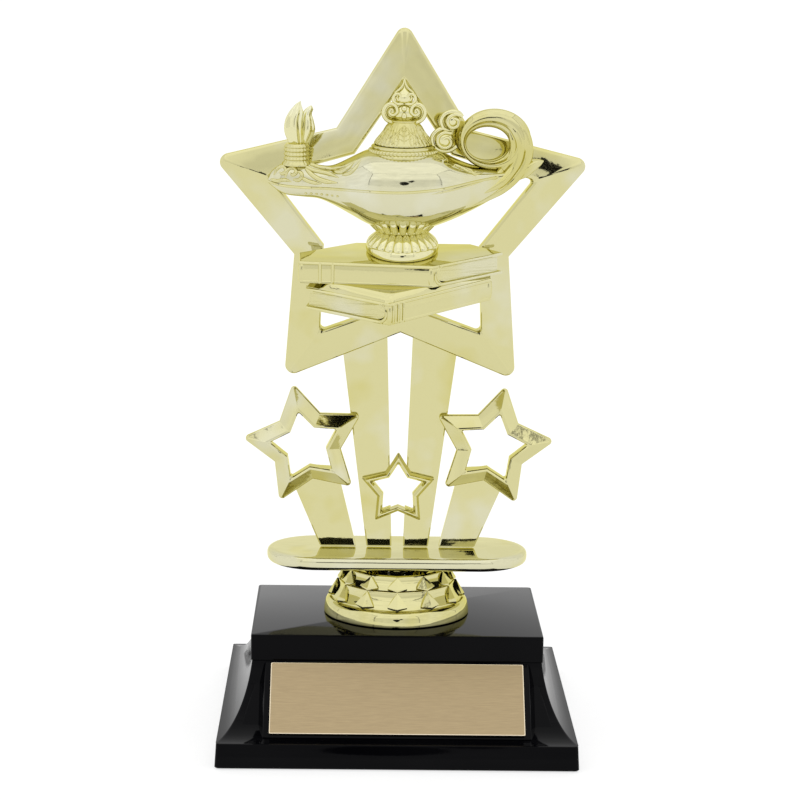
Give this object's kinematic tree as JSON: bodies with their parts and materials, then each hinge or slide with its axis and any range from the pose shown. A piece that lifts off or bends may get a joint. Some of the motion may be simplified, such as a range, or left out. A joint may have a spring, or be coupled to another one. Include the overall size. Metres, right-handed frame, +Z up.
{
  "type": "star trophy",
  "caption": "Award trophy: a hollow star carrying an oil lamp on stacked books, raised on rays over smaller stars, a faceted riser and a black nameplate base.",
  "frame": {"origin": "centre of the underside of the base, on the surface the trophy stands on", "axes": "+Z up, front with the nameplate and the lamp towards -Y, +X to the right of a viewer facing the front"},
  "size_m": [0.1048, 0.1026, 0.2049],
  "materials": {
    "gold_plated_plastic": "vacuum-metallised pale gold, mirror gloss",
    "gold_page_texture": "vacuum-metallised pale gold over fine page lines",
    "black_plastic": "high gloss black moulding",
    "brushed_brass": "satin, brushed along its length",
    "zinc_steel": "bright zinc",
    "weight_iron": "rough, dull",
    "black_felt": "short pile",
    "adhesive_tape": "double-sided foam tape"
  },
  "bodies": {
    "base": {"base_shell": "black_plastic", "bottom_felt": "black_felt", "ballast_weight": "weight_iron", "nameplate": "brushed_brass", "nameplate_tape": "adhesive_tape", "riser": "gold_plated_plastic"},
    "figure": {"threaded_rod": "zinc_steel", "captive_nut": "zinc_steel", "base_nut": "zinc_steel", "rod_washer": "zinc_steel", "oval_plate": "gold_plated_plastic", "centre_ray_left": "gold_plated_plastic", "centre_ray_right": "gold_plated_plastic", "outer_ray_left": "gold_plated_plastic", "outer_ray_right": "gold_plated_plastic", "centre_star": "gold_plated_plastic", "side_star_left": "gold_plated_plastic", "side_star_right": "gold_plated_plastic", "main_star": "gold_plated_plastic", "upper_book_cover": "gold_plated_plastic", "upper_book_pages": "gold_page_texture", "lower_book_cover": "gold_plated_plastic", "lower_book_pages": "gold_page_texture", "lamp_foot": "gold_plated_plastic", "lamp_bowl": "gold_plated_plastic", "lamp_shoulder": "gold_plated_plastic", "lid_band": "gold_plated_plastic", "lamp_lid": "gold_plated_plastic", "finial_lower": "gold_plated_plastic", "finial_upper": "gold_plated_plastic", "wick_nozzle": "gold_plated_plastic", "flame": "gold_plated_plastic", "handle_loop": "gold_plated_plastic", "handle_leaf": "gold_plated_plastic", "handle_scroll_upper": "gold_plated_plastic", "handle_scroll_lower": "gold_plated_plastic"}
  },
  "joints": [
    {"name": "figure_swivel", "type": "hinge", "parent": "base", "child": "figure", "pos_m": [0, 0, 0.0468], "axis": [0, 0, 1], "continuous": true}
  ]
}
